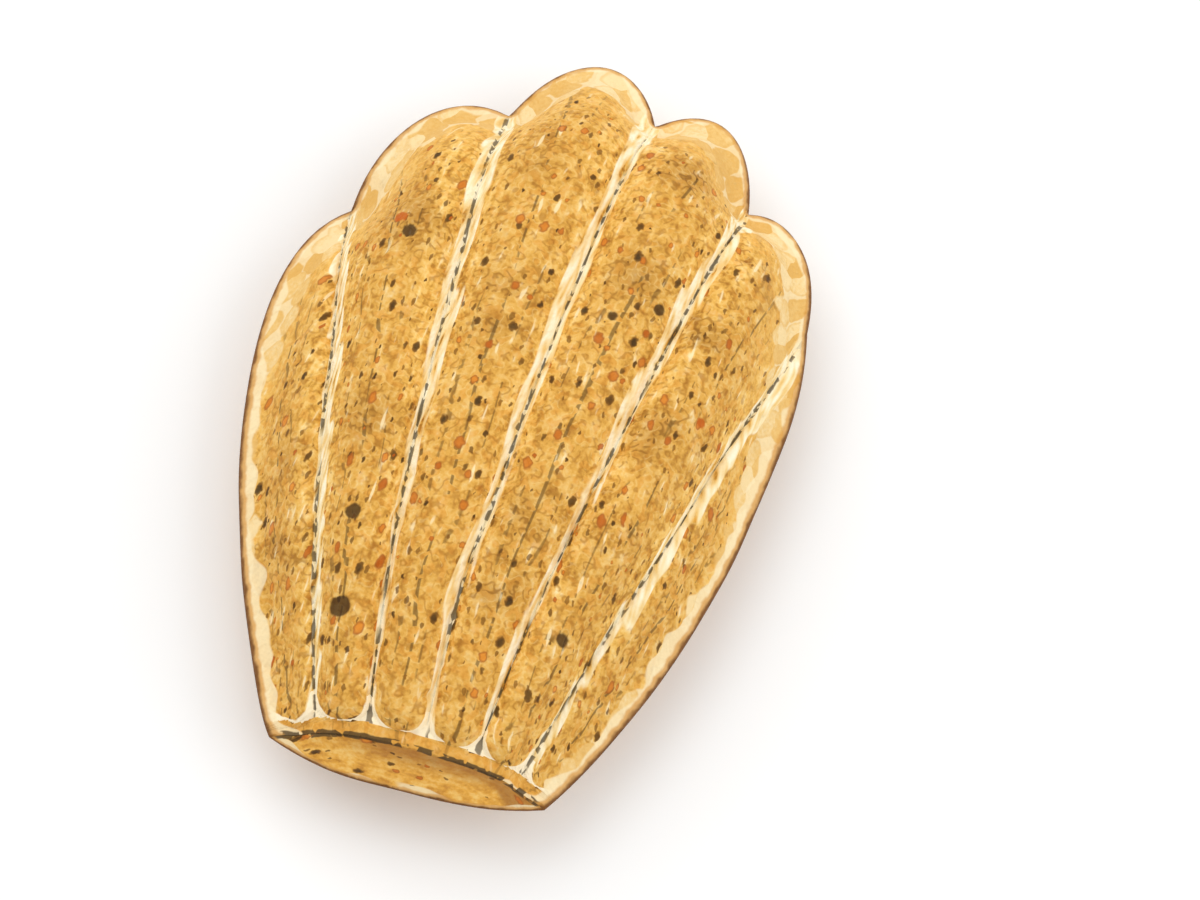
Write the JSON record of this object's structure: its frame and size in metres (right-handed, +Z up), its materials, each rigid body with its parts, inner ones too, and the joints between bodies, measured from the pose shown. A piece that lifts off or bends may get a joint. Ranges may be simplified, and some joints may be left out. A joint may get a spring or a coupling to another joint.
{
  "type": "madeleine cake",
  "caption": "Small shell-shaped sponge cake with fanned ribs, a scalloped rim, a slanted narrow end and a rounded hump underneath.",
  "frame": {"origin": "middle of the small flat on the hump that the cake stands on", "axes": "+Z up out of the ribbed shell side, +Y from the slanted narrow end to the scalloped rim, +X to the right of that"},
  "size_m": [0.0527, 0.0783, 0.0212],
  "materials": {
    "golden_sponge": "baked sponge crust, matte with a faint buttery sheen"
  },
  "bodies": {
    "root": {"madeleine": "golden_sponge"}
  },
  "joints": []
}
